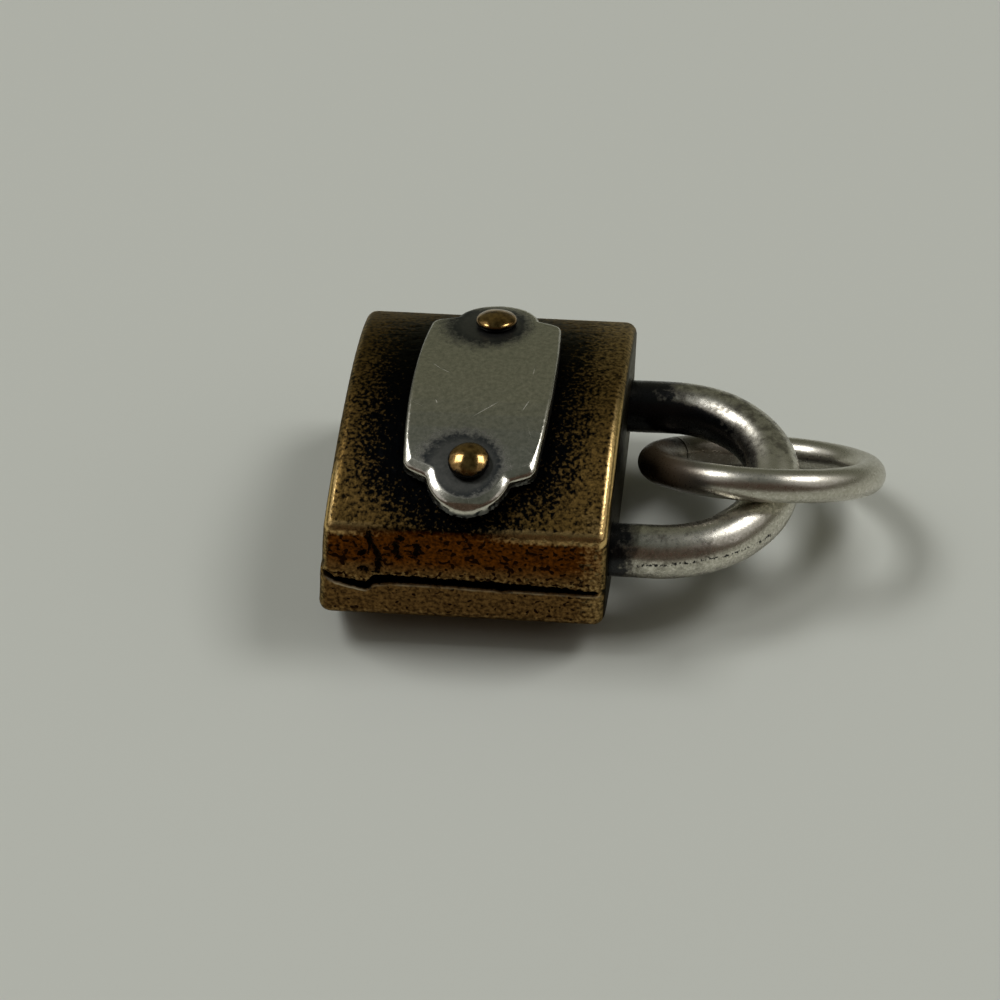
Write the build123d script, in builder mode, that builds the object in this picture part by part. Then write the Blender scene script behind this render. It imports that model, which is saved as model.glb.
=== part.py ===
from build123d import *
import math
import os

# A small padlock pendant that lies on its back with its shackle pointing along +X.
# Millimetres, +Z up from the surface it lies on, +X along the shackle, +Y across the body.
# The origin is on that surface, under the middle of the body.

# Driving sizes of the cast body
far_end_reach = 5.3         # end face away from the shackle, at mid height, from the middle
shackle_end_reach = 5.37    # end face that takes the shackle, the same way
body_width = 12.85          # along Y, between the two long sides
back_edge_height = 1.45     # lower edges of the long sides, above the surface
front_edge_height = 5.65    # upper edges of the long sides, above the surface
front_crown_height = 7.45   # top of the curved front, above the surface
back_flat_width = 3.0       # strip of the curved back that rests on the surface
far_end_lean = 5.8          # degrees that each end face leans towards the shackle
shackle_end_lean = 3.2
edge_radius = 0.45          # softened edges of the casting

# Driving sizes of the soldered seam, left open as a groove on one long side
seam_height = 3.28          # where the two cast halves meet, above the surface
seam_width = 0.32
seam_depth = 0.45
seam_end_margin = 0.3       # closed metal left at the shackle end of the seam
seam_mouth_length = 1.0     # wider opening at the other end, from past the corner
seam_mouth_width = 0.7

# Driving sizes of the plaque, a plate a little flatter than the front it lies on
plaque_thickness = 0.55
plaque_bend_radius = 15.5   # underside
plaque_half_width = 2.69    # at the middle of its barrel-shaped long sides
plaque_shoulder_half_width = 2.47
plaque_shoulder_y = 4.08    # corners of the plate, from its middle
plaque_shoulder_radius = 0.5
plaque_notch_x = 1.58       # where each round lobe meets its shoulders
plaque_notch_y = 4.43
plaque_lobe_reach = 1.77    # from the rivet to the tip of its lobe
plaque_edge_radius = 0.17
plaque_offset_x = 0.26      # middle of the plaque, from the middle of the body
plaque_offset_y = -0.5
plaque_turn = -1.2          # degrees, set a little askew by hand

# Driving sizes of the two rivets
rivet_spacing = 7.8
rivet_head_diameter = 1.56
rivet_head_wall = 0.32      # height of the head's upright side
rivet_head_dome = 0.2       # rise of its domed top above that side
rivet_shank_diameter = 0.9
rivet_depth = 1.6           # length of shank inside the body

# Driving sizes of the shackle, round wire bent to a U
shackle_wire_diameter = 2.06
shackle_leg_spacing = 8.32  # between the centre lines of the legs
shackle_leg_length = 1.63   # straight leg outside the body, before the bow
shackle_leg_depth = 2.0     # leg inside its socket

# Driving sizes of the jump ring threaded on the shackle
ring_wire_diameter = 1.29
ring_mean_radius = 4.1
ring_joint_gap = 0.07       # hairline where the wire's two ends butt
ring_joint_angle = 148.0    # degrees round the ring from +X, on the far side
ring_inset = 0.54           # ring's middle, back from the middle of the bow's wire
ring_offset_y = 1.4
ring_dip = 1.3              # degrees that the ring's outer end hangs lower
ring_flattest_lean = 5.0    # degrees, limits between which its resting lean is looked for
ring_steepest_lean = 80.0
ring_lean_step = 0.02       # degrees, how closely the resting lean is found

# Clearances between pieces
fit_clearance = 0.03        # round each shank and leg, and under the plaque
rest_clearance = 0.05       # between the ring and the shackle it leans on
floor_clearance = 0.01      # under the ring

# Heights and places that follow from the sizes above
body_length = far_end_reach + shackle_end_reach
half_width = body_width / 2
body_middle_height = front_crown_height / 2
front_rise = front_crown_height - front_edge_height
front_radius = (front_rise**2 + half_width**2) / (2 * front_rise)
far_end_slope = math.tan(math.radians(far_end_lean))
shackle_end_slope = math.tan(math.radians(shackle_end_lean))
shackle_height = seam_height
shackle_leg_y = shackle_leg_spacing / 2
end_face_x = shackle_end_reach + shackle_end_slope * (shackle_height - body_middle_height)
bow_centre_x = end_face_x + shackle_leg_length
plaque_reach = rivet_spacing / 2 + plaque_lobe_reach + abs(plaque_offset_y)
plaque_drop = plaque_bend_radius - math.sqrt(plaque_bend_radius**2 - plaque_reach**2)
front_drop = front_radius - math.sqrt(front_radius**2 - plaque_reach**2)
plaque_stand = max(0, plaque_drop - front_drop)  # where its ends touch the front first
plaque_under_height = front_crown_height + fit_clearance + plaque_stand
plaque_bend_height = plaque_under_height - plaque_bend_radius
plaque_top_radius = plaque_bend_radius + plaque_thickness
plaque_plane = Plane(origin=(plaque_offset_x, plaque_offset_y, 0)).rotated((0, 0, plaque_turn))


def rivet_plane(side):
    """Plane on top of the plaque, square to it, under one rivet's head."""
    seat = plaque_plane.from_local_coords(Vector(0, side * rivet_spacing / 2, 0))
    lean = math.asin(seat.Y / plaque_top_radius)
    height = plaque_bend_height + plaque_top_radius * math.cos(lean)
    return Plane(
        origin=(seat.X, seat.Y, height),
        x_dir=(1, 0, 0),
        z_dir=(0, math.sin(lean), math.cos(lean)),
    )


def bow_points():
    """Points on the centre line of the near half of the shackle's bow."""
    points = []
    for degrees in range(-90, 0, 4):
        turn = math.radians(degrees)
        x = bow_centre_x + shackle_leg_y * math.cos(turn)
        points.append(Vector(x, shackle_leg_y * math.sin(turn), shackle_height))
    return points


def ring_plane(lean):
    """Plane of the jump ring when its far side lies on the surface, lean in degrees."""
    lowest = ring_mean_radius * math.sin(math.radians(lean)) + ring_wire_diameter / 2
    middle = (
        bow_centre_x + shackle_leg_y - ring_inset,
        ring_offset_y,
        lowest + floor_clearance,
    )
    return Plane(origin=middle).rotated((-lean, ring_dip, 0))


def ring_to_bow(lean):
    """Gap between the near halves of the ring and the bow at a lean in degrees."""
    plane = ring_plane(lean)
    bow = bow_points()
    closest = math.inf
    for degrees in range(180, 360, 4):
        turn = math.radians(degrees)
        on_ring = Vector(math.cos(turn), math.sin(turn), 0) * ring_mean_radius
        point = plane.from_local_coords(on_ring)
        closest = min(closest, min((point - other).length for other in bow))
    return closest - (ring_wire_diameter + shackle_wire_diameter) / 2


def resting_lean():
    """Lean at which the ring's near side rests on top of the shackle, found by halving."""
    low = ring_flattest_lean
    high = ring_steepest_lean
    while high - low > ring_lean_step:
        middle = (low + high) / 2
        if ring_to_bow(middle) < rest_clearance:
            low = middle
        else:
            high = middle
    return high


# The cast body: a cushion-shaped block with a curved front and back and leaning ends
with BuildPart() as body:
    with BuildSketch(Plane.YZ.offset(-body_length)) as body_section:
        with BuildLine():
            ThreePointArc(
                (half_width, front_edge_height),
                (0, front_crown_height),
                (-half_width, front_edge_height),
            )
            Line((-half_width, front_edge_height), (-half_width, back_edge_height))
            TangentArc(
                (-back_flat_width / 2, 0),
                (-half_width, back_edge_height),
                tangent=(-1, 0),
            )
            Line((-back_flat_width / 2, 0), (back_flat_width / 2, 0))
            TangentArc(
                (back_flat_width / 2, 0),
                (half_width, back_edge_height),
                tangent=(1, 0),
            )
            Line((half_width, back_edge_height), (half_width, front_edge_height))
        make_face()
    extrude(amount=2 * body_length)
    far_lean = far_end_slope * body_middle_height
    shackle_lean = shackle_end_slope * body_middle_height
    with BuildSketch(Plane.XZ.offset(-body_width)) as body_ends:
        with BuildLine():
            Polyline(
                (-far_end_reach - far_lean, 0),
                (shackle_end_reach - shackle_lean, 0),
                (shackle_end_reach + shackle_lean, front_crown_height),
                (-far_end_reach + far_lean, front_crown_height),
                close=True,
            )
        make_face()
    extrude(amount=2 * body_width, mode=Mode.INTERSECT)
    side_edges = body.edges().filter_by(Axis.X).filter_by(
        lambda edge: abs(edge.center().Y) > back_flat_width
    )
    end_faces = body.faces().sort_by(Axis.X)
    end_edges = (end_faces[0].edges() + end_faces[-1].edges()).filter_by(
        lambda edge: edge.center().Z > floor_clearance
    )
    fillet(side_edges + end_edges, radius=edge_radius)

    # The open part of the soldered seam, with its wider mouth away from the shackle
    with BuildSketch(Plane.XZ.offset(half_width - seam_depth)) as seam:
        far_end_x = -far_end_reach + far_end_slope * (seam_height - body_middle_height)
        mouth_x = far_end_x - edge_radius
        mouth_end_x = mouth_x + seam_mouth_length
        mouth_middle_x = mouth_x + seam_mouth_length / 2
        seam_end_x = end_face_x - seam_end_margin
        with BuildLine():
            for lip in (-1, 1):
                ThreePointArc(
                    (mouth_x, seam_height),
                    (mouth_middle_x, seam_height + lip * seam_mouth_width / 2),
                    (mouth_end_x, seam_height + lip * seam_width / 2),
                )
                Line(
                    (mouth_end_x, seam_height + lip * seam_width / 2),
                    (seam_end_x, seam_height + lip * seam_width / 2),
                )
            Line(
                (seam_end_x, seam_height - seam_width / 2),
                (seam_end_x, seam_height + seam_width / 2),
            )
        make_face()
    extrude(amount=2 * seam_depth, mode=Mode.SUBTRACT)

    # Sockets for the shackle's legs
    with BuildSketch(Plane.YZ.offset(end_face_x - shackle_leg_depth - fit_clearance)) as sockets:
        with Locations((-shackle_leg_y, shackle_height), (shackle_leg_y, shackle_height)):
            Circle(shackle_wire_diameter / 2 + fit_clearance)
    extrude(amount=2 * shackle_leg_depth, mode=Mode.SUBTRACT)

    # Holes for the rivet shanks
    for side in (-1, 1):
        with BuildSketch(rivet_plane(side).offset(2 * plaque_thickness)) as shank_hole:
            Circle(rivet_shank_diameter / 2 + fit_clearance)
        extrude(
            amount=-(3 * plaque_thickness + rivet_depth + fit_clearance),
            mode=Mode.SUBTRACT,
        )

body.part.label = "body"

# The plaque: a bent plate with barrel-shaped sides and a round lobe at each rivet
with BuildPart() as plaque:
    with BuildSketch(Plane.YZ.offset(-body_length)) as plaque_section:
        with Locations((0, plaque_bend_height)):
            Circle(plaque_top_radius)
            Circle(plaque_bend_radius, mode=Mode.SUBTRACT)
    extrude(amount=2 * body_length)
    with BuildSketch(plaque_plane) as plaque_outline:
        with BuildLine():
            for side in (-1, 1):
                ThreePointArc(
                    (side * plaque_shoulder_half_width, -plaque_shoulder_y),
                    (side * plaque_half_width, 0),
                    (side * plaque_shoulder_half_width, plaque_shoulder_y),
                )
                ThreePointArc(
                    (-plaque_notch_x, side * plaque_notch_y),
                    (0, side * (rivet_spacing / 2 + plaque_lobe_reach)),
                    (plaque_notch_x, side * plaque_notch_y),
                )
                for end in (-1, 1):
                    Line(
                        (side * plaque_shoulder_half_width, end * plaque_shoulder_y),
                        (side * plaque_notch_x, end * plaque_notch_y),
                    )
        make_face()
        lobe_corner_x = (plaque_notch_x + plaque_shoulder_half_width) / 2
        shoulders = plaque_outline.vertices().filter_by(
            lambda vertex: abs(vertex.X) > lobe_corner_x
        )
        fillet(shoulders, radius=plaque_shoulder_radius)
    extrude(amount=2 * front_crown_height, mode=Mode.INTERSECT)
    under_and_top = plaque.faces().sort_by(SortBy.AREA)[-2:]
    plaque_top = under_and_top.sort_by(Axis.Z)[-1]
    fillet(plaque_top.edges(), radius=plaque_edge_radius)

    # Holes for the rivet shanks
    for side in (-1, 1):
        with BuildSketch(rivet_plane(side).offset(plaque_thickness)) as plaque_hole:
            Circle(rivet_shank_diameter / 2 + fit_clearance)
        extrude(amount=-3 * plaque_thickness, mode=Mode.SUBTRACT)

plaque.part.label = "plaque"


def make_rivet(side):
    """One domed rivet with its shank, standing square on the plaque."""
    seat_plane = rivet_plane(side)
    section_plane = Plane(
        origin=seat_plane.origin, x_dir=seat_plane.x_dir, z_dir=-seat_plane.y_dir
    )
    half_head = rivet_head_diameter / 2
    half_shank = rivet_shank_diameter / 2
    head_top = rivet_head_wall + rivet_head_dome
    shank_end = -(plaque_thickness + rivet_depth)
    with BuildPart() as rivet:
        with BuildSketch(section_plane):
            with BuildLine():
                Polyline(
                    (0, head_top),
                    (0, shank_end),
                    (half_shank, shank_end),
                    (half_shank, fit_clearance),
                    (half_head, fit_clearance),
                    (half_head, rivet_head_wall),
                )
                TangentArc((0, head_top), (half_head, rivet_head_wall), tangent=(1, 0))
            make_face()
        revolve(axis=Axis(seat_plane.origin, seat_plane.z_dir))
    return rivet


near_rivet = make_rivet(-1)
near_rivet.part.label = "near_rivet"
far_rivet = make_rivet(1)
far_rivet.part.label = "far_rivet"

# The shackle: round wire bent to a U, its legs seated in their sockets
with BuildPart() as shackle:
    leg_start_x = end_face_x - shackle_leg_depth
    with BuildLine(Plane.XY.offset(shackle_height)) as shackle_path:
        Line((leg_start_x, -shackle_leg_y), (bow_centre_x, -shackle_leg_y))
        ThreePointArc(
            (bow_centre_x, -shackle_leg_y),
            (bow_centre_x + shackle_leg_y, 0),
            (bow_centre_x, shackle_leg_y),
        )
        Line((bow_centre_x, shackle_leg_y), (leg_start_x, shackle_leg_y))
    with BuildSketch(Plane.YZ.offset(leg_start_x)) as shackle_section:
        with Locations((-shackle_leg_y, shackle_height)):
            Circle(shackle_wire_diameter / 2)
    sweep(path=shackle_path.wire())

shackle.part.label = "shackle"

# The jump ring: its far side on the surface, its near side leaning on the shackle
ring_rest_plane = ring_plane(resting_lean())
joint_turn = math.radians(ring_joint_angle)
joint_point = ring_rest_plane.from_local_coords(
    Vector(math.cos(joint_turn), math.sin(joint_turn), 0)
)
to_joint = joint_point - ring_rest_plane.origin
ring_section_plane = Plane(
    origin=ring_rest_plane.origin,
    x_dir=to_joint,
    z_dir=to_joint.cross(ring_rest_plane.z_dir),
)
joint_sweep = 360 - math.degrees(ring_joint_gap / ring_mean_radius)
with BuildPart() as jump_ring:
    with BuildSketch(ring_section_plane) as ring_section:
        with Locations((ring_mean_radius, 0)):
            Circle(ring_wire_diameter / 2)
    revolve(
        axis=Axis(ring_rest_plane.origin, ring_rest_plane.z_dir),
        revolution_arc=joint_sweep,
    )

jump_ring.part.label = "jump_ring"

os.makedirs("parts", exist_ok=True)
export_step(body.part, "parts/body.step")
export_step(plaque.part, "parts/plaque.step")
export_step(near_rivet.part, "parts/near_rivet.step")
export_step(far_rivet.part, "parts/far_rivet.step")
export_step(shackle.part, "parts/shackle.step")
export_step(jump_ring.part, "parts/jump_ring.step")

print(f"ring leans {resting_lean():.2f} degrees")
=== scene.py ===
import logging
import math
from dataclasses import dataclass
from enum import Enum
from functools import partial
from typing import Any

import bmesh
import bpy
import numpy as np
from mathutils import Matrix, Vector
from mathutils.kdtree import KDTree


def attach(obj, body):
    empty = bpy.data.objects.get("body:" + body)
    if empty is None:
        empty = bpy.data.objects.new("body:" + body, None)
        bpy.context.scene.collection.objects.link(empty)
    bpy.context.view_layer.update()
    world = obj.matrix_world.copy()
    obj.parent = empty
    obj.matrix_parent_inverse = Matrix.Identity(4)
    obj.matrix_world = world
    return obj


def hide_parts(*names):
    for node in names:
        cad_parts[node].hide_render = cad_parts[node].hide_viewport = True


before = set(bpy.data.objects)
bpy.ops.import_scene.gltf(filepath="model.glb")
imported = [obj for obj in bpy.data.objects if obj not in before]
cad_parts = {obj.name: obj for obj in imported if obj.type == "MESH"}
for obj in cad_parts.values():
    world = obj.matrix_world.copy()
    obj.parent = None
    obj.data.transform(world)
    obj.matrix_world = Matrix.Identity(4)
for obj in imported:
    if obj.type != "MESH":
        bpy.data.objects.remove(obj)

# Every piece is made in millimetres and scaled to metres as its last step.
MILLIMETRE = 0.001
# Chooses the unevenness of the cast skin and of the plate.
SEED = 7.0
logging.basicConfig(level=logging.INFO, format="%(name)s: %(message)s")
log = logging.getLogger("padlock_pendant")
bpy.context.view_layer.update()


class Slot(Enum):
    """The record's material slots that the pieces take their finishes from."""

    BODY = "cast_brass"
    PLAQUE = "plaque_silver"
    RIVET = "rivet_brass"
    SHACKLE = "shackle_silver"
    RING = "ring_silver"


class Kind(Enum):
    """The kinds of node in the trees: the type and the fixed settings of each.

    Sockets that share a name go by number. RANGE and SMOOTH take the value at 0, the ends
    of its range at 1 and 2, and what those become at 3 and 4. MIX takes the share at 0 and
    its two colours at 6 and 7, and MIX_VALUE has its two values at 2 and 3.
    """

    ABSOLUTE = "ShaderNodeMath", {"operation": "ABSOLUTE"}
    ADD = "ShaderNodeMath", {"operation": "ADD"}
    DIVIDE = "ShaderNodeMath", {"operation": "DIVIDE"}
    MAXIMUM = "ShaderNodeMath", {"operation": "MAXIMUM"}
    MINIMUM = "ShaderNodeMath", {"operation": "MINIMUM"}
    MULTIPLY = "ShaderNodeMath", {"operation": "MULTIPLY"}
    MULTIPLY_ADD = "ShaderNodeMath", {"operation": "MULTIPLY_ADD"}
    SUBTRACT = "ShaderNodeMath", {"operation": "SUBTRACT"}
    DOT_PRODUCT = "ShaderNodeVectorMath", {"operation": "DOT_PRODUCT"}
    LENGTH = "ShaderNodeVectorMath", {"operation": "LENGTH"}
    VECTOR_SCALE = "ShaderNodeVectorMath", {"operation": "SCALE"}
    VECTOR_SUBTRACT = "ShaderNodeVectorMath", {"operation": "SUBTRACT"}
    AXES = "ShaderNodeSeparateXYZ", {}
    MAPPING = "ShaderNodeMapping", {"vector_type": "TEXTURE"}
    RANGE = "ShaderNodeMapRange", {}
    SMOOTH = "ShaderNodeMapRange", {"interpolation_type": "SMOOTHSTEP"}
    NOISE = "ShaderNodeTexNoise", {}
    SEEDED_NOISE = "ShaderNodeTexNoise", {"noise_dimensions": "4D"}
    MIX = "ShaderNodeMix", {"data_type": "RGBA"}
    MIX_VALUE = "ShaderNodeMix", {"data_type": "FLOAT"}
    COORDINATES = "ShaderNodeTexCoord", {}
    ATTRIBUTE = "ShaderNodeAttribute", {}
    BUMP = "ShaderNodeBump", {}
    SURFACE = "ShaderNodeBsdfPrincipled", {}
    BACKGROUND = "ShaderNodeBackground", {}
    MATERIAL_OUTPUT = "ShaderNodeOutputMaterial", {}
    WORLD_OUTPUT = "ShaderNodeOutputWorld", {}
    POSITION = "GeometryNodeInputPosition", {}
    NORMAL = "GeometryNodeInputNormal", {}
    NAMED = "GeometryNodeInputNamedAttribute", {"data_type": "FLOAT"}
    STORE = "GeometryNodeStoreNamedAttribute", {"data_type": "FLOAT", "domain": "POINT"}
    OBJECT_INFO = "GeometryNodeObjectInfo", {}
    PROXIMITY = "GeometryNodeProximity", {}
    MESH_TO_CURVE = "GeometryNodeMeshToCurve", {}
    RESAMPLE = "GeometryNodeResampleCurve", {"mode": "LENGTH"}
    UPRIGHT = "GeometryNodeSetCurveNormal", {"mode": "Z_UP"}
    CIRCLE = "GeometryNodeCurvePrimitiveCircle", {"mode": "RADIUS"}
    CURVE_TO_MESH = "GeometryNodeCurveToMesh", {}
    WELD = "GeometryNodeMergeByDistance", {}
    SET_POSITION = "GeometryNodeSetPosition", {}
    TRANSFORM = "GeometryNodeTransform", {}
    SHADE_SMOOTH = "GeometryNodeSetShadeSmooth", {}
    REALIZE = "GeometryNodeRealizeInstances", {}
    SET_MATERIAL = "GeometryNodeSetMaterial", {}
    TREE_OUTPUT = "NodeGroupOutput", {}


def linear(colour: str) -> tuple[float, float, float, float]:
    """Turns an sRGB hex colour into a linear one.

    Args:
        colour: six hex digits after a hash mark.

    Returns:
        Red, green, blue and alpha, linear.
    """
    parts = [int(colour[i : i + 2], 16) / 255 for i in (1, 3, 5)]
    low = [c / 12.92 if c <= 0.04045 else ((c + 0.055) / 1.055) ** 2.4 for c in parts]
    return (*low, 1.0)


def set_inputs(node: Any, inputs: dict) -> None:
    """Links a node's inputs, or sets them to values.

    Args:
        node: the node.
        inputs: sockets by name or number, each with an output, a value or a hex colour.
    """
    for key, value in inputs.items():
        socket = node.inputs[key]
        if isinstance(value, bpy.types.NodeSocket):
            node.id_data.links.new(value, socket)
        elif isinstance(value, str) and value.startswith("#"):
            socket.default_value = linear(value)
        else:
            socket.default_value = value


def add_node(
    tree: Any, kind: Kind, inputs: dict | None = None, output: str = "", **settings: Any
) -> Any:
    """Adds one node with its settings and links.

    Args:
        tree: the shader, world or geometry tree.
        kind: the kind of node.
        inputs: sockets by name or number, each with an output, a value or a hex colour.
        output: name of the output to return, if it isn't the first.
        settings: further settings of the node.

    Returns:
        The output, or the node itself if it has none.
    """
    type_name, fixed = kind.value
    node = tree.nodes.new(type_name)
    for name, value in {**fixed, **settings}.items():
        setattr(node, name, value)
    set_inputs(node, inputs or {})
    if output:
        return node.outputs[output]
    return next((out for out in node.outputs if out.enabled), node)


def smooth_step(value: Any, start: float, end: float) -> Any:
    """Smooth rise from 0 at start to 1 at end, also where start is the larger.

    Args:
        value: a number or an array.
        start: where the rise begins.
        end: where it is complete.

    Returns:
        The share of the rise, from 0 to 1.
    """
    share = np.clip((value - start) / (end - start), 0.0, 1.0)
    return share * share * (3 - 2 * share)


def read_points(mesh: bpy.types.Mesh) -> np.ndarray:
    """The places of a mesh's vertices, one row each."""
    points = np.zeros(len(mesh.vertices) * 3, np.float32)
    mesh.vertices.foreach_get("co", points)
    return points.reshape(-1, 3).astype(float)


def read_attribute(mesh: bpy.types.Mesh, name: str) -> np.ndarray:
    """The numbers kept for a mesh's vertices under a name."""
    values = np.zeros(len(mesh.vertices), np.float32)
    mesh.attributes[name].data.foreach_get("value", values)
    return values


def write_points(mesh: bpy.types.Mesh, points: np.ndarray) -> None:
    """Moves a mesh's vertices to new places."""
    mesh.vertices.foreach_set("co", points.astype(np.float32).ravel())
    mesh.update()


def write_attribute(mesh: bpy.types.Mesh, name: str, values: np.ndarray) -> None:
    """Keeps one number for each vertex under a name that materials can read."""
    attribute = mesh.attributes.new(name, "FLOAT", "POINT")
    attribute.data.foreach_set("value", values.astype(np.float32))


def baked_mesh(obj: bpy.types.Object, name: str) -> bpy.types.Mesh:
    """Turns an object with its modifiers into a plain mesh and removes the object.

    Args:
        obj: the working object.
        name: name for the new mesh.

    Returns:
        The evaluated mesh.
    """
    bpy.context.view_layer.update()
    graph = bpy.context.evaluated_depsgraph_get()
    mesh = bpy.data.meshes.new_from_object(obj.evaluated_get(graph), depsgraph=graph)
    mesh.name = name
    bpy.data.objects.remove(obj)
    return mesh


def working_object(name: str, mesh: bpy.types.Mesh) -> bpy.types.Object:
    """Puts a mesh in the scene as an object that is still being worked on."""
    obj = bpy.data.objects.new(name, mesh)
    bpy.context.scene.collection.objects.link(obj)
    return obj


def node_copy(node: str) -> bpy.types.Mesh:
    """Copies a CAD node's mesh in millimetres, with its doubles merged.

    Args:
        node: the CAD node's name.

    Returns:
        A closed mesh at the node's place.
    """
    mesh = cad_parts[node].data.copy()
    mesh.transform(Matrix.Scale(1 / MILLIMETRE, 4))
    mesh.materials.clear()
    merge_distance = 0.0005
    work = bmesh.new()
    work.from_mesh(mesh)
    bmesh.ops.remove_doubles(work, verts=work.verts, dist=merge_distance)
    work.to_mesh(mesh)
    work.free()
    return mesh


def even_mesh(mesh: bpy.types.Mesh, name: str, spacing: float) -> bpy.types.Mesh:
    """Remeshes a closed mesh with evenly spaced vertices.

    Args:
        mesh: the closed mesh, in millimetres.
        name: name for the new mesh.
        spacing: distance between vertices, in millimetres.

    Returns:
        The even mesh.
    """
    obj = working_object(name, mesh)
    remesh = obj.modifiers.new("even", "REMESH")
    remesh.mode = "VOXEL"
    remesh.voxel_size = spacing
    remesh.use_smooth_shade = True
    even = baked_mesh(obj, name)
    bpy.data.meshes.remove(mesh)
    return even


def new_geometry_tree(name: str, inputs: dict[str, str]) -> tuple[Any, Any, Any]:
    """Starts a geometry tree with a geometry input and output and named inputs.

    Args:
        name: the tree's name.
        inputs: the type of each further input, by its name. Finish is added to them.

    Returns:
        The tree, add_node for it and the outputs of its input node.
    """
    tree = bpy.data.node_groups.new(name, "GeometryNodeTree")
    for label, kind in {"Geometry": "Geometry", **inputs, "Finish": "Material"}.items():
        tree.interface.new_socket(label, in_out="INPUT", socket_type="NodeSocket" + kind)
    tree.interface.new_socket("Geometry", in_out="OUTPUT", socket_type="NodeSocketGeometry")
    return tree, partial(add_node, tree), tree.nodes.new("NodeGroupInput").outputs


def sink(add: Any, geometry: Any, depth: Any) -> Any:
    """Sinks a surface along its normals in a geometry tree.

    Args:
        add: add_node for the tree.
        geometry: the output that holds the surface.
        depth: the output that says how deep.

    Returns:
        The output that holds the sunk surface.
    """
    outward = add(Kind.MULTIPLY, {0: depth, 1: -1.0})
    normal = add(Kind.NORMAL)
    offset = add(Kind.VECTOR_SCALE, {0: normal, "Scale": outward})
    return add(Kind.SET_POSITION, {"Geometry": geometry, "Offset": offset})


def finish_tree(tree: Any, geometry: Any, material: Any) -> Any:
    """Ends a geometry tree in Realize Instances and Set Material.

    Args:
        tree: the tree.
        geometry: the output that holds the geometry so far.
        material: the tree's Finish input.

    Returns:
        The tree.
    """
    smooth = add_node(tree, Kind.SHADE_SMOOTH, {"Geometry": geometry})
    real = add_node(tree, Kind.REALIZE, {"Geometry": smooth})
    dressed = add_node(tree, Kind.SET_MATERIAL, {"Geometry": real, "Material": material})
    add_node(tree, Kind.TREE_OUTPUT, {0: dressed})
    return tree


def chain_mesh(name: str, chains: Any) -> bpy.types.Mesh:
    """Joins the places of each chain by edges.

    Args:
        name: the mesh's name.
        chains: the places along each chain, in millimetres, with or without a height.

    Returns:
        The mesh of edges.
    """
    mesh = bpy.data.meshes.new(name)
    vertices, edges = [], []
    for chain in chains:
        start = len(vertices)
        vertices += [(*place, 0.0)[:3] for place in chain]
        edges += [(start + i, start + i + 1) for i in range(len(chain) - 1)]
    mesh.from_pydata(vertices, edges, [])
    return mesh


def apply_tree(
    mesh: bpy.types.Mesh, name: str, tree: Any, values: dict[str, Any]
) -> bpy.types.Mesh:
    """Runs a geometry tree on a mesh and returns the plain result.

    Args:
        mesh: the mesh that the tree starts from.
        name: name for the new mesh.
        tree: the geometry tree.
        values: the tree's inputs by their names.

    Returns:
        The finished mesh.
    """
    obj = working_object(name, mesh)
    modifier = obj.modifiers.new(name, "NODES")
    modifier.node_group = tree
    for item in tree.interface.items_tree:
        if item.in_out == "INPUT" and item.name in values:
            modifier[item.identifier] = values[item.name]
    return baked_mesh(obj, name)


def place_piece(mesh: bpy.types.Mesh, name: str, nodes: list[str]) -> bpy.types.Object:
    """Scales a finished mesh to metres and sets it in the frame.

    Args:
        mesh: the finished mesh, in millimetres.
        name: the piece's name.
        nodes: the CAD nodes that the piece stands for.

    Returns:
        The piece.
    """
    mesh.transform(Matrix.Scale(MILLIMETRE, 4))
    obj = working_object(name, mesh)
    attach(obj, "root")
    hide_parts(*nodes)
    lowest, highest = read_points(mesh).min(0), read_points(mesh).max(0)
    mesh.calc_loop_triangles()
    log.info(
        "%s: %d triangles, from %s to %s mm",
        name,
        len(mesh.loop_triangles),
        np.round(lowest / MILLIMETRE, 2).tolist(),
        np.round(highest / MILLIMETRE, 2).tolist(),
    )
    return obj


def new_material(name: str) -> tuple[Any, Any, Any, Any]:
    """Starts a material whose pattern is measured in millimetres.

    Args:
        name: the material's name.

    Returns:
        The material, add_node for its tree, its shader node and the place in millimetres.
    """
    material = bpy.data.materials.new(name)
    material.use_nodes = True
    material.node_tree.nodes.clear()
    add = partial(add_node, material.node_tree)
    shader = add(Kind.SURFACE).node
    add(Kind.MATERIAL_OUTPUT, {"Surface": shader.outputs[0]})
    coordinates = add(Kind.COORDINATES, None, "Object")
    place = add(Kind.VECTOR_SCALE, {0: coordinates, "Scale": 1 / MILLIMETRE})
    return material, add, shader, place


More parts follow.
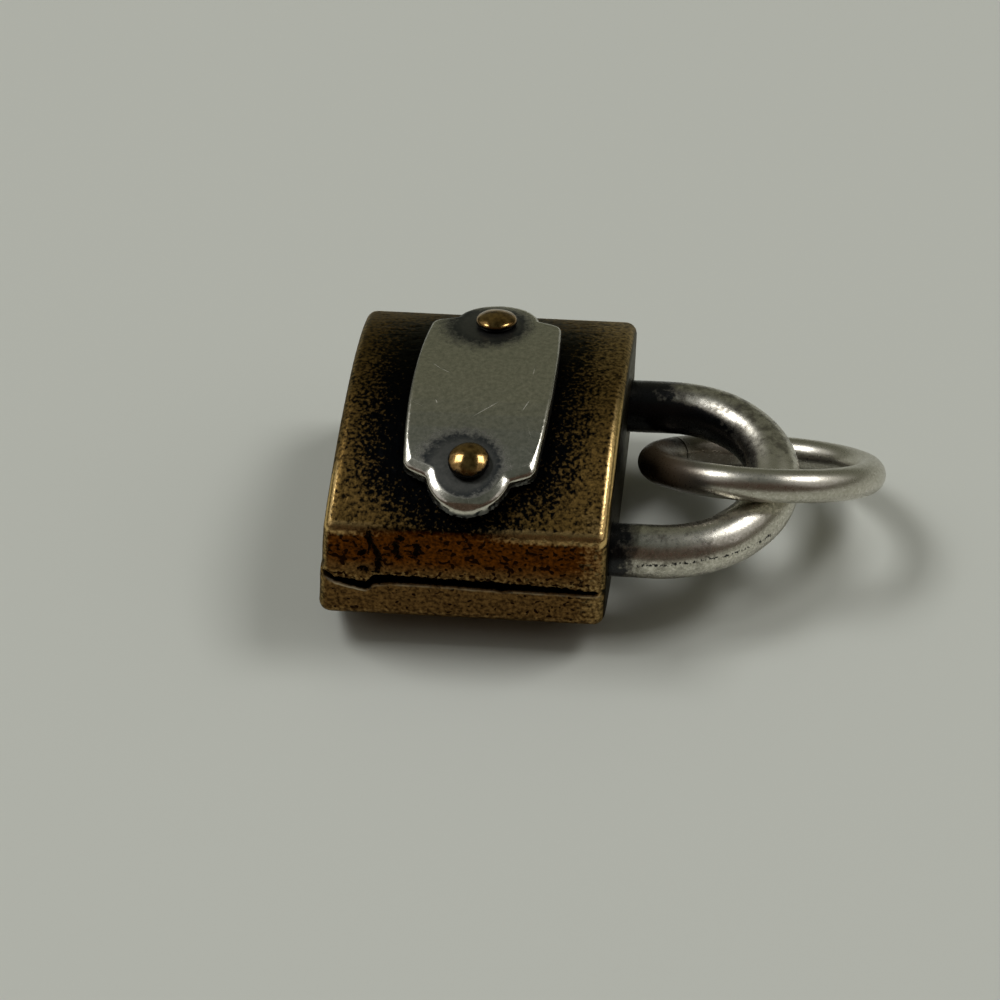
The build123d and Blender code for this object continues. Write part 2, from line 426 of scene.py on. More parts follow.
@dataclass(frozen=True)
class PatinatedCastBrass:
    """Cast brass darkened in liver of sulphur, then rubbed back on its high places.

    The fine pits of the cast skin keep the dark oxide, so the metal looks grainy. Its
    rubbed edges are smoother and more golden, with painted highlights on the end edges'
    near parts and a painted sheen on the front's far right, and against the plaque,
    where no cloth reaches, the oxide is whole and nearly black.
    """

    # Rubbed brass, pale enough that it also stands for painted highlights on the edges and a
    # painted sheen.
    worn: str = "#dcbb7c"
    golden: str = "#735c2e"
    umber: str = "#624c29"
    warm_side: str = "#68380a"
    tan_side: str = "#7c5d34"
    pit_side: str = "#1c0b02"
    crumb: str = "#8f7448"
    oxide: str = "#050607"
    grazing: str = "#d6d4ca"
    flaw: str = "#0d0502"
    # Rubbed metal under the seam's lower lip, pale as a painted highlight.
    lip: str = "#cfc0a0"
    grain: float = 0.14         # millimetres, width of one grain of the cast skin
    mottle: float = 1.1         # millimetres, width of one patch of thicker patina
    halo_width: float = 1.04    # millimetres from the plaque where half the grain is bare
    halo_fade: float = 1.72     # millimetres more until all of it would be
    most_bare: float = 0.7      # share beyond which it never thins, so specks stay

    def material(self) -> bpy.types.Material:
        """Builds the material.

        Returns:
            The material, which reads the attributes named below.
        """
        material, add, shader, place = new_material("cast_brass_liver_of_sulphur_patina")
        axes = add(Kind.AXES, {0: place}).node
        plaque_gap, polish, end_gap, flaw_gap, groove, lip, crumbs = (
            add(Kind.ATTRIBUTE, None, "Fac", attribute_name=name)
            for name in ("plaque_gap", "polish", "end_gap", "flaw_gap", "groove", "lip", "crumbs")
        )
        grain = add(Kind.NOISE, {"Vector": place, "Scale": 1 / self.grain, "Roughness": 0.55})
        mottle = add(
            Kind.NOISE, {"Vector": place, "Scale": 1 / self.mottle, "Detail": 3.0, "Roughness": 0.6}
        )
        spots = add(Kind.NOISE, {"Vector": place, "Scale": 0.75 / self.grain, "Detail": 0.0})
        reach = add(Kind.ABSOLUTE, {0: axes.outputs["Y"]})
        # How far the oxide has thinned on the front: least at the far end of the body,
        # more towards the shackle and beyond the plaque's round lobes.
        past_lobes = add(Kind.SMOOTH, {0: axes.outputs["Y"], 1: -3.8, 2: -5.0, 4: 0.2})
        along = add(Kind.MULTIPLY_ADD, {0: axes.outputs["X"], 1: 0.068, 2: plaque_gap})
        eased = add(Kind.ADD, {0: along, 1: past_lobes})
        thinned = add(
            Kind.RANGE,
            {0: eased, 1: self.halo_width, 2: self.halo_width + self.halo_fade},
            clamp=False,
        )
        most = add(Kind.MINIMUM, {0: thinned, 1: self.most_bare})
        # Single grains come bare first, more of them where the patina is patchy.
        patch = add(Kind.RANGE, {0: mottle, 1: 0.3, 2: 0.7, 3: -0.15, 4: 0.15})
        grain_share = add(Kind.RANGE, {0: grain, 1: 0.3, 2: 0.7, 3: -0.7, 4: 0.7})
        grainy = add(Kind.ADD, {0: most, 1: grain_share})
        bare = add(Kind.ADD, {0: grainy, 1: patch})
        hue = add(Kind.MIX, {0: mottle, 6: self.golden, 7: self.umber})
        front = add(Kind.MIX, {0: bare, 6: self.oxide, 7: hue})
        # The long sides are browner: tan below the seam, red-brown with pits above it.
        on_side = add(Kind.SMOOTH, {0: reach, 1: 6.28, 2: 6.38})
        height_patchy = add(Kind.MULTIPLY_ADD, {0: mottle, 1: 0.9, 2: axes.outputs["Z"]})
        above = add(Kind.SMOOTH, {0: height_patchy, 1: 3.9, 2: 4.8})
        spot_level = add(Kind.RANGE, {0: above, 3: 0.7, 4: 0.62})
        crumbled = add(Kind.MULTIPLY_ADD, {0: crumbs, 1: 0.14, 2: spots})
        over_level = add(Kind.SUBTRACT, {0: crumbled, 1: spot_level})
        side_pits = add(Kind.SMOOTH, {0: over_level, 1: -0.03, 2: 0.05})
        side_share = add(Kind.RANGE, {0: grain, 1: 0.3, 2: 0.66, 3: 0.9, 4: 0.0})
        side_dark = add(Kind.MAXIMUM, {0: side_pits, 1: side_share})
        side = add(Kind.MIX, {0: above, 6: self.tan_side, 7: self.warm_side})
        side_pitted = add(Kind.MIX, {0: side_dark, 6: side, 7: self.pit_side})
        # Light crumbs of bare metal along the seam's upper lip.
        crumb_level = add(Kind.MULTIPLY_ADD, {0: crumbs, 1: 0.2, 2: grain})
        crumb = add(Kind.SMOOTH, {0: crumb_level, 1: 0.7, 2: 0.8, 4: 0.8})
        side_crumbs = add(Kind.MIX, {0: crumb, 6: side_pitted, 7: self.crumb})
        metal = add(Kind.MIX, {0: on_side, 6: front, 7: side_crumbs})
        # Edges rubbed back to brass, uneven where the grain keeps its oxide. The mask also
        # holds painted highlights on the end edges and a painted sheen on the front's far right.
        rub_and_highlight_level = add(Kind.MULTIPLY_ADD, {0: grain_share, 1: 0.22, 2: polish})
        rub_and_highlight_share = add(Kind.SMOOTH, {0: rub_and_highlight_level, 1: 0.15, 2: 0.95})
        rubbed = add(Kind.MIX, {0: rub_and_highlight_share, 6: metal, 7: self.worn})
        # The bright line under the seam's lower lip: rubbed metal with a painted highlight.
        with_lip = add(Kind.MIX, {0: lip, 6: rubbed, 7: self.lip})
        # Whole oxide in the seam and the flaws, and on the end faces, never rubbed.
        flaw_edge = add(Kind.MULTIPLY_ADD, {0: grain, 1: -0.55, 2: flaw_gap})
        in_flaw = add(Kind.SMOOTH, {0: flaw_edge, 1: -0.18, 2: -0.12, 3: 1.0, 4: 0.0})
        on_end = add(Kind.SMOOTH, {0: end_gap, 1: 0.09, 2: 0.03, 4: 0.93})
        flawed = add(Kind.MIX, {0: in_flaw, 6: with_lip, 7: self.flaw})
        black = add(Kind.MAXIMUM, {0: on_end, 1: groove})
        colour = add(Kind.MIX, {0: black, 6: flawed, 7: self.oxide})
        roughness = add(Kind.RANGE, {0: rub_and_highlight_share, 3: 0.45, 4: 0.2})
        in_side = add(Kind.MULTIPLY, {0: on_side, 1: side_pits})
        sunk = add(Kind.MAXIMUM, {0: in_side, 1: in_flaw})
        height = add(Kind.MULTIPLY_ADD, {0: grain, 1: -1.2, 2: sunk})
        bump = add(
            Kind.BUMP,
            {"Strength": 0.5, "Distance": 0.02 * MILLIMETRE, "Height": height},
            invert=True,
        )
        look = {"Base Color": colour, "Roughness": roughness, "Normal": bump, "Metallic": 1.0}
        set_inputs(shader, {**look, "Specular Tint": self.grazing})
        return material


@dataclass(frozen=True)
class SatinSilverSheet:
    """Rolled sterling silver, sanded to a satin and handled since.

    It mirrors the room softly and evenly, with fine scratches, and dark tarnish is
    left round each rivet where a cloth doesn't reach.
    """

    silver: str = "#e8e3d5"
    cloud: str = "#bab9ab"
    tarnish: str = "#22272a"
    cloud_width: float = 0.16       # millimetres, width of one spot of the satin
    scratch_length: float = 2.2     # millimetres
    scratch_width: float = 0.05     # millimetres, drawn wide enough to show
    ring_inner: float = 1.15        # millimetres from a rivet's axis
    ring_outer: float = 2.0
    ring_ragged: float = 1.3        # how far its border wanders
    # Single clear scratches: middle, half length and turn of each.
    marks: tuple[tuple[float, float, float, float], ...] = (
        (0.54, -1.86, 0.8, 0.742),
        (-1.55, 0.35, 0.34, -0.72),
        (-1.2, 0.1, 0.3, -0.6),
        (-1.35, -1.6, 0.12, -1.2),
        (2.0, -1.6, 0.42, 1.2),
        (2.1, 0.3, 0.3, 1.5),
    )

    def scratch(self, add: Any, place: Any, mark: tuple[float, float, float, float]) -> Any:
        """Adds one clear scratch.

        Args:
            add: add_node for the shader tree.
            place: the place in millimetres.
            mark: middle, half length and turn of the scratch.

        Returns:
            The output that is 1 in the scratch.
        """
        x, y, half_length, turn = mark
        along = add(
            Kind.MAPPING,
            {
                "Vector": place,
                "Location": (x, y, 0.0),
                "Rotation": (0.0, 0.0, turn),
                "Scale": (half_length, self.scratch_width / 2, 100.0),
            },
        )
        length = add(Kind.LENGTH, {0: along}, "Value")
        return add(Kind.SMOOTH, {0: length, 1: 0.4, 3: 1.0, 4: 0.0})

    def material(self, rivets: list[Vector]) -> bpy.types.Material:
        """Builds the material.

        Args:
            rivets: the middle of each rivet's head, in millimetres.

        Returns:
            The material, which reads pit, grime and unfiled.
        """
        material, add, shader, place = new_material("sterling_silver_satin_sheet")
        pit, grime, unfiled = (
            add(Kind.ATTRIBUTE, None, "Fac", attribute_name=name)
            for name in ("pit", "grime", "unfiled")
        )
        ragged = add(Kind.NOISE, {"Vector": place, "Scale": 4.4, "Detail": 5.0, "Roughness": 0.8})
        tarnish = add(Kind.MAXIMUM, {0: pit, 1: grime})
        for rivet in rivets:
            from_rivet = add(Kind.VECTOR_SUBTRACT, {0: place, 1: rivet})
            gap = add(Kind.LENGTH, {0: from_rivet}, "Value")
            # The tarnish reaches farther to the left of each rivet and below it.
            rightward = add(Kind.DOT_PRODUCT, {0: from_rivet, 1: (0.2, 0.06, 0.0)}, "Value")
            leaning = add(Kind.ADD, {0: gap, 1: rightward})
            uneven = add(Kind.MULTIPLY_ADD, {0: ragged, 1: self.ring_ragged, 2: leaning})
            inner, outer = (
                radius + self.ring_ragged / 2 for radius in (self.ring_inner, self.ring_outer)
            )
            ring = add(Kind.SMOOTH, {0: uneven, 1: inner, 2: outer, 3: 1.0, 4: 0.0})
            rubbed = add(Kind.MULTIPLY_ADD, {0: ragged, 1: 0.5, 2: leaning})
            thin = add(
                Kind.SMOOTH,
                {0: rubbed, 1: self.ring_inner + 0.1, 2: self.ring_inner + 0.45, 3: 0.87},
            )
            kept = add(Kind.MULTIPLY, {0: thin, 1: unfiled})
            shown = add(Kind.MULTIPLY, {0: ring, 1: kept})
            tarnish = add(Kind.MAXIMUM, {0: tarnish, 1: shown})
        strokes = 0.0
        for turn in (0.5, 1.9, 2.7):
            turned = add(
                Kind.MAPPING,
                {
                    "Vector": place,
                    "Rotation": (0.0, 0.0, turn),
                    "Scale": (self.scratch_length, self.scratch_width, 1.0),
                },
            )
            lines = add(Kind.NOISE, {"Vector": turned, "Scale": 1.0, "Detail": 1.0})
            strokes = add(Kind.MAXIMUM, {0: strokes, 1: lines})
        marked = add(Kind.SMOOTH, {0: strokes, 1: 0.72, 2: 0.9, 4: 0.5})
        for mark in self.marks:
            marked = add(Kind.MAXIMUM, {0: marked, 1: self.scratch(add, place, mark)})
        clouds = add(
            Kind.NOISE,
            {"Vector": place, "Scale": 1 / self.cloud_width, "Detail": 3.0, "Roughness": 0.7},
        )
        cloudy = add(Kind.RANGE, {0: clouds, 1: 0.3, 2: 0.7})
        satin = add(Kind.MIX, {0: cloudy, 6: self.silver, 7: self.cloud})
        colour = add(Kind.MIX, {0: tarnish, 6: satin, 7: self.tarnish})
        rough_base = add(Kind.RANGE, {0: marked, 3: 0.2, 4: 0.42})
        roughness = add(Kind.MIX_VALUE, {0: tarnish, 2: rough_base, 3: 0.4})
        height = add(Kind.MULTIPLY_ADD, {0: clouds, 1: 0.9, 2: marked})
        bump = add(
            Kind.BUMP,
            {"Strength": 0.35, "Distance": 0.005 * MILLIMETRE, "Height": height},
            invert=True,
        )
        look = {"Base Color": colour, "Roughness": roughness, "Normal": bump, "Metallic": 1.0}
        set_inputs(shader, look)
        return material


@dataclass(frozen=True)
class RubbedBrassRivet:
    """Brass rivet wire, peened to a cushion and rubbed bright on top.

    The top mirrors the windows as two small lights, and the upright side and the foot of
    the shoulder are black: the oxide of the patina bath, with painted shade where the
    head meets the plate.
    """

    brass: str = "#b39058"
    shade: str = "#6a5029"
    oxide: str = "#070605"
    wax: float = 0.15               # a clear film that whitens the two small lights
    black_below: float = 0.36       # height above the plate, in millimetres

    def material(self, seat: Vector, axis: Vector) -> bpy.types.Material:
        """Builds the material.

        Args:
            seat: middle of the head's foot, in millimetres.
            axis: unit vector along the rivet, out of the plaque.

        Returns:
            The material.
        """
        material, add, shader, place = new_material("rivet_brass_peened_and_rubbed")
        from_seat = add(Kind.VECTOR_SUBTRACT, {0: place, 1: seat})
        height = add(Kind.DOT_PRODUCT, {0: from_seat, 1: axis}, "Value")
        blotch = add(Kind.NOISE, {"Vector": place, "Scale": 4.5, "Detail": 3.0, "Roughness": 0.6})
        uneven = add(Kind.MULTIPLY_ADD, {0: blotch, 1: 0.22, 2: height})
        # Black below a ragged height: the patina's oxide, and painted shade at the head's foot.
        bright = add(Kind.SMOOTH, {0: uneven, 1: self.black_below, 2: self.black_below + 0.09})
        shaded = add(Kind.RANGE, {0: blotch, 1: 0.35, 2: 0.65})
        brass = add(Kind.MIX, {0: shaded, 6: self.brass, 7: self.shade})
        colour = add(Kind.MIX, {0: bright, 6: self.oxide, 7: brass})
        roughness = add(Kind.RANGE, {0: bright, 3: 0.5, 4: 0.15})
        look = {"Base Color": colour, "Roughness": roughness, "Metallic": 1.0}
        set_inputs(shader, {**look, "Coat Weight": self.wax, "Coat Roughness": 0.06})
        return material


@dataclass(frozen=True)
class SilverWireFinish:
    """Drawn silver wire, blackened in the patina bath and brushed back.

    It is a soft satin with short marks round the wire, black where it was left
    unbrushed and, on the shackle's far leg, partly as painted shade, and its casting pits
    and a hairline keep the oxide.
    """

    name: str
    silver: str = "#e0dccf"
    grey: str = "#b9b5a6"
    oxide: str = "#0c0d0e"
    brown: str = "#3a3226"
    roughness: float = 0.29
    ragged: float = 1.5             # how far patches of black reach past their border
    fade: float = 0.3               # how wide the black's border is

    def material(self) -> bpy.types.Material:
        """Builds the material.

        Returns:
            The material, which reads blackened, pit and flaw_gap.
        """
        material, add, shader, place = new_material(self.name)
        black, pit, flaw_gap = (
            add(Kind.ATTRIBUTE, None, "Fac", attribute_name=name)
            for name in ("blackened", "pit", "flaw_gap")
        )
        patchy = add(Kind.NOISE, {"Vector": place, "Scale": 2.4, "Detail": 5.0, "Roughness": 0.7})
        fine = add(Kind.NOISE, {"Vector": place, "Scale": 9.0, "Roughness": 0.6})
        pushed = add(Kind.MULTIPLY_ADD, {0: patchy, 1: self.ragged, 2: black})
        middle = 0.55 + self.ragged / 2
        edge = add(Kind.SMOOTH, {0: pushed, 1: middle - self.fade / 2, 2: middle + self.fade / 2})
        line_edge = add(Kind.MULTIPLY_ADD, {0: fine, 1: -0.36, 2: flaw_gap})
        line = add(Kind.SMOOTH, {0: line_edge, 1: -0.175, 2: -0.135, 3: 1.0, 4: 0.0})
        flawed = add(Kind.MAXIMUM, {0: line, 1: pit})
        dark = add(Kind.MAXIMUM, {0: edge, 1: flawed})
        worked = add(Kind.RANGE, {0: fine, 1: 0.35, 2: 0.65})
        metal = add(Kind.MIX, {0: worked, 6: self.silver, 7: self.grey})
        stained = add(Kind.SMOOTH, {0: pushed, 1: middle - 0.45, 2: middle, 4: 0.7})
        warm = add(Kind.MIX, {0: stained, 6: metal, 7: self.brown})
        colour = add(Kind.MIX, {0: dark, 6: warm, 7: self.oxide})
        metallic = add(Kind.RANGE, {0: dark, 3: 1.0, 4: 0.35})
        roughness = add(
            Kind.RANGE,
            {0: fine, 1: 0.3, 2: 0.7, 3: self.roughness - 0.05, 4: self.roughness + 0.07},
        )
        bump = add(Kind.BUMP, {"Strength": 0.3, "Distance": 0.006 * MILLIMETRE, "Height": fine})
        look = {"Base Color": colour, "Roughness": roughness, "Normal": bump, "Metallic": metallic}
        set_inputs(shader, look)
        return material


@dataclass
class CastBody:
    """The cast brass body, with its pitted skin, crack and ragged solder seam."""

    spacing: float = 0.083          # millimetres between vertices
    far_end: tuple[float, float] = (5.3, 0.1016)        # reach at mid height, and slope
    shackle_end: tuple[float, float] = (5.37, 0.0559)
    half_width: float = 6.425
    middle_height: float = 3.725
    front_radius: float = 12.37
    front_centre_height: float = -4.92
    back_radius: float = 9.09
    back_flat_half: float = 1.5
    seam_height: float = 3.28
    seam_width: float = 0.32
    mouth_width: float = 0.7
    mouth_places: tuple[float, float, float] = (-5.795, -5.295, -4.795)
    pit_depth: float = 0.02
    wave_depth: float = 0.03
    crack_depth: float = 0.12
    pit_grains: float = 1.4         # width of one cast pit, in grains of the patina
    worn_radius: float = 0.2        # of the front's long edges
    finish: PatinatedCastBrass = PatinatedCastBrass()
    # The seam's lips: place along the body, height of the lower and the upper lip.
    seam_lips: tuple[tuple[float, float, float], ...] = (
        (-5.8, 3.3, 3.31),
        (-5.5, 3.3, 3.33),
        (-5.3, 3.28, 3.38),
        (-5.08, 3.22, 3.37),
        (-4.77, 3.03, 3.24),
        (-4.3, 2.86, 3.16),
        (-3.9, 2.76, 3.08),
        (-3.62, 2.69, 3.03),
        (-3.5, 2.76, 3.12),
        (-3.38, 2.96, 3.38),
        (-2.5, 3.08, 3.42),
        (-0.6, 3.05, 3.36),
        (1.2, 2.98, 3.34),
        (1.45, 2.9, 3.32),
        (1.7, 2.99, 3.29),
        (3.4, 2.97, 3.24),
        (4.9, 2.95, 3.1),
        (5.6, 2.95, 3.1),
    )
    # Casting flaws on the long side: each a chain of places along and up the side.
    flaws: tuple[tuple[tuple[float, float], ...], ...] = (
        ((-3.4, 5.47), (-3.29, 4.93), (-3.14, 4.59), (-3.07, 4.2), (-3.14, 3.7)),
        ((-2.42, 5.02), (-2.38, 4.63), (-2.3, 4.38)),
        ((-3.6, 4.62), (-3.72, 4.5)),
        ((-1.62, 5.0), (-1.58, 4.75), (-1.72, 4.5)),
        ((-2.2, 5.35), (-2.28, 5.28)),
        ((-3.7, 3.72), (-3.55, 3.65)),
    )

    def face_gaps(self, points: np.ndarray) -> list[np.ndarray]:
        """Distance of each point from each face of the casting.

        Args:
            points: places on the body, in millimetres.

        Returns:
            Distances from the far end, the shackle end, a long side, the front and the back.
        """
        x, y, z = points.T
        height = z - self.middle_height
        reach = np.abs(y)
        rounding = np.hypot(reach - self.back_flat_half, z - self.back_radius)
        return [
            x + self.far_end[0] - self.far_end[1] * height,
            self.shackle_end[0] + self.shackle_end[1] * height - x,
            self.half_width - reach,
            self.front_radius - np.hypot(y, z - self.front_centre_height),
            np.where(reach < self.back_flat_half, z, self.back_radius - rounding),
        ]

    def soften_edges(self, points: np.ndarray) -> np.ndarray:
        """Rounds the front's long edges, worn wider and less evenly than the others.

        Args:
            points: places of the even mesh, in millimetres.

        Returns:
            The same places with those edges worn.
        """
        _, _, side, front, _ = self.face_gaps(points)
        x, y, z = points.T
        radius = self.worn_radius * (1 + 0.12 * np.sin(1.9 * x + 0.7) + 0.08 * np.sin(4.1 * x))
        outward = np.stack([radius - side, radius - front])
        beyond = np.hypot(*outward) - radius
        inward = np.where((outward > 0).all(axis=0), np.maximum(beyond, 0), 0)
        inward /= np.maximum(np.hypot(*outward), 0.001)
        rise = np.stack([y, z - self.front_centre_height]) / self.front_radius
        moved = points.copy()
        moved[:, 1] -= inward * (outward[0] * np.sign(y) + outward[1] * rise[0])
        moved[:, 2] -= inward * outward[1] * rise[1]
        return moved

    def mark_edges(self, mesh: bpy.types.Mesh, points: np.ndarray) -> None:
        """Marks the rubbed edges with their painted highlights and sheen, and the distances
        from the end faces and the edges.

        Args:
            mesh: the even mesh.
            points: its places, in millimetres.
        """
        far, shackle, side, front, back = self.face_gaps(points)
        x, y, _ = points.T
        # The long edges are rubbed most near their corners, and the front's least midway.
        to_corner = smooth_step(np.abs(x + 1.0), 0.8, 4.0)
        above = 0.75 + 0.25 * smooth_step(side, 0.02, 0.2)
        long_edge = smooth_step(np.maximum(side, front), 0.45, 0.1) * above
        long_edge *= 0.15 + 0.55 * to_corner
        # Painted highlights: the end edges are rubbed all along, but made brightest on their near
        # parts, where the windows glint on them.
        far_edge = smooth_step(np.maximum(far, front), 0.34, 0.08)
        far_edge *= 0.4 + 1.3 * smooth_step(y, -3.6, -5.0)
        shackle_edge = smooth_step(np.maximum(shackle, front), 0.5, 0.12)
        shackle_edge *= 0.45 + 0.8 * smooth_step(y, 0.5, -2.5)
        corner = 0.4 * smooth_step(np.maximum(np.minimum(far, shackle), side), 0.45, 0.08)
        corner_soft = 0.35 * smooth_step(np.maximum(shackle, side), 1.8, 0.3)
        back_edge = 0.25 * smooth_step(np.maximum(np.minimum(side, shackle), back), 0.5, 0.1)
        # Painted sheen: the front's far right gets the rubbed colour where it reflects the room at
        # a grazing angle.
        sheen_far_right = 0.38 * smooth_step(x, 2.5, 5.0) * smooth_step(y, -2.0, 3.0)
        polish = np.max(
            [long_edge, far_edge, shackle_edge, corner, corner_soft, back_edge, sheen_far_right], axis=0
        )
        write_attribute(mesh, "polish", polish)
        write_attribute(mesh, "end_gap", np.minimum(far + 0.06, shackle))
        gaps = np.sort([far, shackle, side, front, back], axis=0)
        write_attribute(mesh, "edge_gap", gaps[1])

    def mouth_half(self, x: np.ndarray) -> np.ndarray:
        """Half the height of the CAD seam along the body.

        Args:
            x: places along the body, in millimetres.

        Returns:
            Half the seam's height at each place.
        """
        start, middle, end = self.mouth_places
        table = ((start, 0.0), (middle, self.mouth_width / 2), (end, self.seam_width / 2))
        return np.interp(x, [place for place, _ in table], [half for _, half in table])

    def shape_seam(self, points: np.ndarray) -> np.ndarray:
        """Makes the straight seam wander as the real one does.

        Args:
            points: places of the even mesh, in millimetres.

        Returns:
            The same places with the seam's lips moved.
        """
        lips = np.array(self.seam_lips)
        x, y, z = points.T
        ripple = 0.03 * np.sin(9.1 * x + 1.3) * np.sin(4.3 * x) + 0.02 * np.sin(23.0 * x + 1.0)
        low = np.interp(x, lips[:, 0], lips[:, 1]) + 0.3 * ripple
        high = np.interp(x, lips[:, 0], lips[:, 2]) + ripple
        half = np.maximum(self.mouth_half(x), 0.02)
        cad_low, cad_high = self.seam_height - half, self.seam_height + half
        inside = low + (z - cad_low) * (high - low) / (cad_high - cad_low)
        above = z + (high - cad_high) * smooth_step(z - cad_high, 1.0, 0.0)
        below = z + (low - cad_low) * smooth_step(cad_low - z, 1.0, 0.0)
        shaped = np.where(z > cad_high, above, np.where(z < cad_low, below, inside))
        near_side = smooth_step(-y, 4.4, 5.6)
        moved = points.copy()
        moved[:, 2] = z + (shaped - z) * near_side
        return moved

    def mark_seam(self, mesh: bpy.types.Mesh, points: np.ndarray) -> None:
        """Marks the seam's inside, the bright line under its lower lip (rubbed metal with a
        painted highlight) and the crumbs over its upper one.

        Args:
            mesh: the even mesh.
            points: its places before the seam is shaped.
        """
        x, y, z = points.T
        half = self.mouth_half(x)
        from_lip = np.abs(z - self.seam_height) - half
        depth = self.half_width + y
        far = self.face_gaps(points)[0]
        rounded = 0.07 * smooth_step(x, -5.2, -4.9)
        groove = smooth_step(depth, 0.05, 0.16) * smooth_step(from_lip - rounded, 0.02, -0.03)
        groove *= smooth_step(depth, 0.56, 0.48) * smooth_step(far, 0.04, 0.12)
        write_attribute(mesh, "groove", groove)
        on_side = y < -6.3
        # A thin bright line just under the lower lip: rubbed metal and a painted highlight along
        # its edge.
        under = self.seam_height - half - z
        line = smooth_step(under, 0.0, 0.05) * smooth_step(under, 0.14, 0.07) * on_side
        stretch = smooth_step(x, -5.25, -5.0) * smooth_step(x, -3.5, -3.8)
        broken = 0.25 + 0.2 * np.sin(2.3 * x + 1.0) * np.sin(5.1 * x)
        write_attribute(mesh, "lip", line * (0.6 * stretch + broken))
        over = z - self.seam_height - half
        crumbs = smooth_step(over, -0.05, 0.02) * smooth_step(over, 0.45, 0.1) * on_side
        write_attribute(mesh, "crumbs", crumbs)

    def skin_tree(self) -> Any:
        """Builds the tree that pits the cast skin and keeps what the finish reads.

        Returns:
            The geometry tree.
        """
        inputs = {"Plaque": "Object", "Flaws": "Object"}
        for name in ("Grain Width", "Pit Depth", "Wave Depth", "Flaw Depth"):
            inputs[name] = "Float"
        tree, add, given = new_geometry_tree("cast_skin", inputs)
        gaps = {}
        for name, target in (("Plaque", "FACES"), ("Flaws", "EDGES")):
            found = add(Kind.OBJECT_INFO, {0: given[name]}, "Geometry")
            gaps[name] = add(Kind.PROXIMITY, {0: found}, "Distance", target_element=target)
        place = add(Kind.POSITION)
        frequency = add(Kind.DIVIDE, {0: 1.0, 1: given["Grain Width"]})
        grain = add(
            Kind.SEEDED_NOISE,
            {"Vector": place, "W": SEED, "Scale": frequency, "Detail": 1.5, "Roughness": 0.6},
        )
        wave = add(Kind.SEEDED_NOISE, {"Vector": place, "W": SEED, "Scale": 0.45})
        edge_gap = add(Kind.NAMED, {"Name": "edge_gap"})
        calm = add(Kind.SMOOTH, {0: edge_gap, 1: 0.1, 3: 0.14, 4: 0.0})
        level = add(Kind.SUBTRACT, {0: grain, 1: calm})
        pits = add(Kind.SMOOTH, {0: level, 1: 0.5, 2: 0.68})
        flaw_edge = add(Kind.MULTIPLY_ADD, {0: grain, 1: -0.3, 2: gaps["Flaws"]})
        flaw = add(Kind.SMOOTH, {0: flaw_edge, 1: -0.15, 2: -0.05, 3: 1.0, 4: 0.0})
        pit_drop = add(Kind.MULTIPLY, {0: pits, 1: given["Pit Depth"]})
        with_flaw = add(Kind.MULTIPLY_ADD, {0: flaw, 1: given["Flaw Depth"], 2: pit_drop})
        drop = add(Kind.MULTIPLY_ADD, {0: wave, 1: given["Wave Depth"], 2: with_flaw})
        marked = given["Geometry"]
        for name, kept in (("Plaque", "plaque_gap"), ("Flaws", "flaw_gap")):
            marked = add(Kind.STORE, {"Geometry": marked, "Name": kept, "Value": gaps[name]})
        return finish_tree(tree, sink(add, marked, drop), given["Finish"])

    def build(self) -> bpy.types.Object:
        """Builds and dresses the body.

        Returns:
            The piece.
        """
        mesh = even_mesh(node_copy("body"), "even_body", self.spacing)
        points = read_points(mesh)
        self.mark_edges(mesh, points)
        self.mark_seam(mesh, points)
        write_points(mesh, self.shape_seam(self.soften_edges(points)))
        plaque = working_object("plaque_reach", node_copy("plaque"))
        side = -self.half_width
        chains = [[(x, side, z) for x, z in chain] for chain in self.flaws]
        flaws = working_object("flaws", chain_mesh("flaws", chains))
        finished = apply_tree(
            mesh,
            "cast_body",
            self.skin_tree(),
            {
                "Plaque": plaque,
                "Flaws": flaws,
                "Grain Width": self.finish.grain * self.pit_grains,
                "Pit Depth": self.pit_depth,
                "Wave Depth": self.wave_depth,
                "Flaw Depth": self.crack_depth,
                "Finish": self.finish.material(),
            },
        )
        bpy.data.objects.remove(plaque)
        bpy.data.objects.remove(flaws)
        return place_piece(finished, "cast_body", ["body"])


